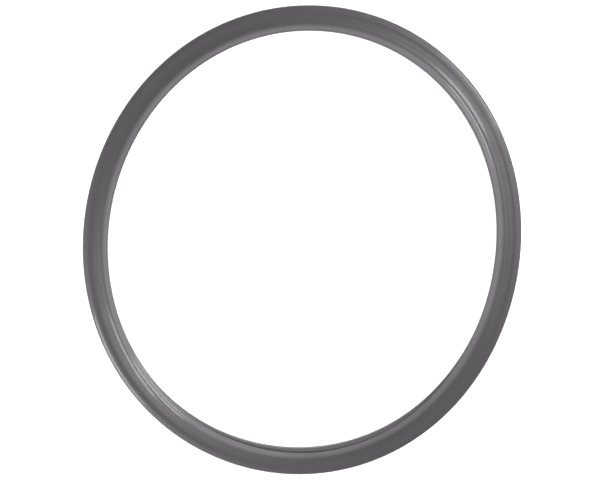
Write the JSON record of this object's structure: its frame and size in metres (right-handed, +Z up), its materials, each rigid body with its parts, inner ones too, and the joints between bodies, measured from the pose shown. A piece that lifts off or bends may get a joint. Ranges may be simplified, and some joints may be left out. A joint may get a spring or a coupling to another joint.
{
  "type": "pressure cooker sealing ring",
  "caption": "Dark grey elastomer sealing ring for a stovetop pressure cooker lid, a lip seal open towards its middle, lying relaxed and slightly oval.",
  "frame": {"origin": "centre of the ring, on the plane of its flat underside", "axes": "+Z up through the ring, from the underside to the crest of the upper lip; +Y along the longer way across the relaxed oval, +X along the shorter"},
  "size_m": [0.2348, 0.2532, 0.0086],
  "materials": {
    "silicone": "satin dark warm grey silicone rubber, smooth from its mould"
  },
  "bodies": {
    "root": {"sealing_ring": "silicone"}
  },
  "joints": []
}
